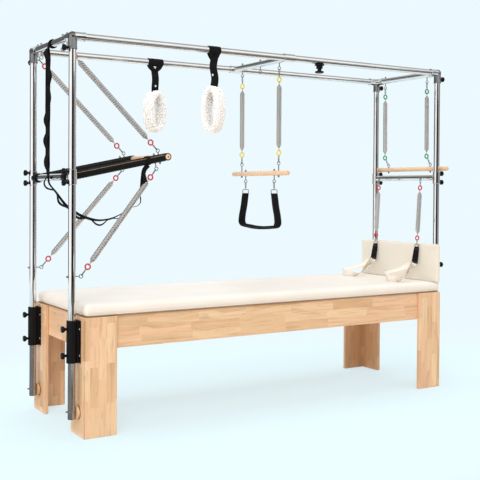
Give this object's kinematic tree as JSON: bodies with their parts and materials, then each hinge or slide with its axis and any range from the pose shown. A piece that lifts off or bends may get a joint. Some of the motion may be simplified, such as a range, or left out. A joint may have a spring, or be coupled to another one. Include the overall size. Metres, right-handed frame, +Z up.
{
  "type": "pilates trapeze table",
  "caption": "Padded wooden pilates bed under a tubular steel cage, with a sliding trapeze, push-through bar, roll-down bar, springs, straps and fleece loops.",
  "frame": {"origin": "centre of the bounding box at floor level", "axes": "+X along the bed towards the end with the backboard and the roll-down bar, +Y across the bed to its back, +Z up"},
  "size_m": [2.572, 0.756, 2.025],
  "materials": {
    "steel": "polished stainless steel tube",
    "black": "satin black",
    "foam": "black foam cover",
    "wood": "clear lacquered, finger jointed",
    "vinyl": "off-white upholstery vinyl",
    "spring": "spring steel with coloured rings",
    "webbing": "woven black webbing",
    "fleece": "white pile",
    "cotton": "natural cotton webbing"
  },
  "bodies": {
    "frame": {"leg_fl": "wood", "leg_bl": "wood", "leg_fr": "wood", "leg_br": "wood", "rail_front": "wood", "rail_back": "wood", "rail_left": "wood", "rail_right": "wood", "deck": "wood", "mattress": "vinyl", "backboard": "vinyl", "board_clamp_front": "black", "board_clamp_back": "black", "post_fl": "steel", "post_bl": "steel", "post_fr": "steel", "post_br": "steel", "bracket_fl": "black", "bracket_bl": "black", "bracket_fr": "black", "bracket_br": "black", "corner_fl": "steel", "corner_bl": "steel", "corner_fr": "steel", "corner_br": "steel", "top_rail_front": "steel", "top_rail_back": "steel", "end_tube_left": "steel", "end_tube_right": "steel", "crossbar_left": "steel", "crossbar_right": "steel", "stop_saddle": "black", "safety_strap": "webbing", "push_spring_upper_front": "spring", "push_spring_upper_back": "spring", "push_spring_lower_front": "spring", "push_spring_lower_back": "spring"},
    "carriage": {"trapeze_carriage": "steel"},
    "trapeze": {"trapeze_spring_front": "spring", "trapeze_spring_back": "spring", "trapeze_bar": "wood"},
    "sling": {"sling": "webbing"},
    "roll_down": {"roll_spring_front": "spring", "roll_spring_back": "spring", "roll_down_bar": "wood"},
    "arm_front": {"arm_spring_front": "spring", "hand_loop_front": "cotton"},
    "arm_back": {"arm_spring_back": "spring", "hand_loop_back": "cotton"},
    "push_bar": {"push_arm_front": "foam", "push_arm_back": "foam", "push_dowel": "wood"},
    "fleece_front": {"fleece_loop_front": "fleece"},
    "fleece_back": {"fleece_loop_back": "fleece"},
    "stop_knob": {"stop_knob": "black"},
    "knob_left_front_low": {"knob_left_front_low": "black"},
    "knob_left_front_high": {"knob_left_front_high": "black"},
    "knob_left_back_low": {"knob_left_back_low": "black"},
    "knob_left_back_high": {"knob_left_back_high": "black"}
  },
  "joints": [
    {"name": "carriage_slide", "type": "slide", "parent": "frame", "child": "carriage", "axis": [1, 0, 0], "range_m": [-0.4, 0.15]},
    {"name": "trapeze_swing", "type": "hinge", "parent": "carriage", "child": "trapeze", "pos_m": [0.07, 0, 1.948], "axis": [0, 1, 0], "range_deg": [-40, 40]},
    {"name": "sling_swing", "type": "hinge", "parent": "trapeze", "child": "sling", "pos_m": [0.07, 0, 1.2905], "axis": [0, 1, 0], "range_deg": [-35, 35]},
    {"name": "roll_down_swing", "type": "hinge", "parent": "frame", "child": "roll_down", "pos_m": [1.2305, 0, 1.948], "axis": [0, -1, 0], "range_deg": [0, 60]},
    {"name": "arm_front_swing", "type": "hinge", "parent": "frame", "child": "arm_front", "pos_m": [1.1825, -0.204, 1.3245], "axis": [0, 1, 0], "range_deg": [0, 55]},
    {"name": "arm_back_swing", "type": "hinge", "parent": "frame", "child": "arm_back", "pos_m": [1.1825, 0.204, 1.3245], "axis": [0, 1, 0], "range_deg": [0, 55]},
    {"name": "push_bar_swing", "type": "hinge", "parent": "frame", "child": "push_bar", "pos_m": [-1.2305, 0, 1.297], "axis": [0, -1, 0], "range_deg": [-30, 25], "stiffness_Nm_per_rad": 250, "springref_deg": 2.29, "deforming": ["push_spring_upper_front", "push_spring_upper_back", "push_spring_lower_front", "push_spring_lower_back", "safety_strap"]},
    {"name": "fleece_front_swing", "type": "hinge", "parent": "frame", "child": "fleece_front", "pos_m": [-0.425, -0.298, 1.996], "axis": [1, 0, 0], "range_deg": [-35, 35]},
    {"name": "fleece_back_swing", "type": "hinge", "parent": "frame", "child": "fleece_back", "pos_m": [-0.485, 0.298, 1.996], "axis": [1, 0, 0], "range_deg": [-35, 35]},
    {"name": "stop_knob_turn", "type": "hinge", "parent": "frame", "child": "stop_knob", "pos_m": [0.29, -0.298, 1.936], "axis": [0, 0, 1], "continuous": true},
    {"name": "knob_left_front_low_turn", "type": "hinge", "parent": "frame", "child": "knob_left_front_low", "pos_m": [-1.25, -0.298, 1.269], "axis": [-1, 0, 0], "continuous": true},
    {"name": "knob_left_front_high_turn", "type": "hinge", "parent": "frame", "child": "knob_left_front_high", "pos_m": [-1.25, -0.298, 1.325], "axis": [-1, 0, 0], "continuous": true},
    {"name": "knob_left_back_low_turn", "type": "hinge", "parent": "frame", "child": "knob_left_back_low", "pos_m": [-1.25, 0.298, 1.269], "axis": [-1, 0, 0], "continuous": true},
    {"name": "knob_left_back_high_turn", "type": "hinge", "parent": "frame", "child": "knob_left_back_high", "pos_m": [-1.25, 0.298, 1.325], "axis": [-1, 0, 0], "continuous": true}
  ]
}
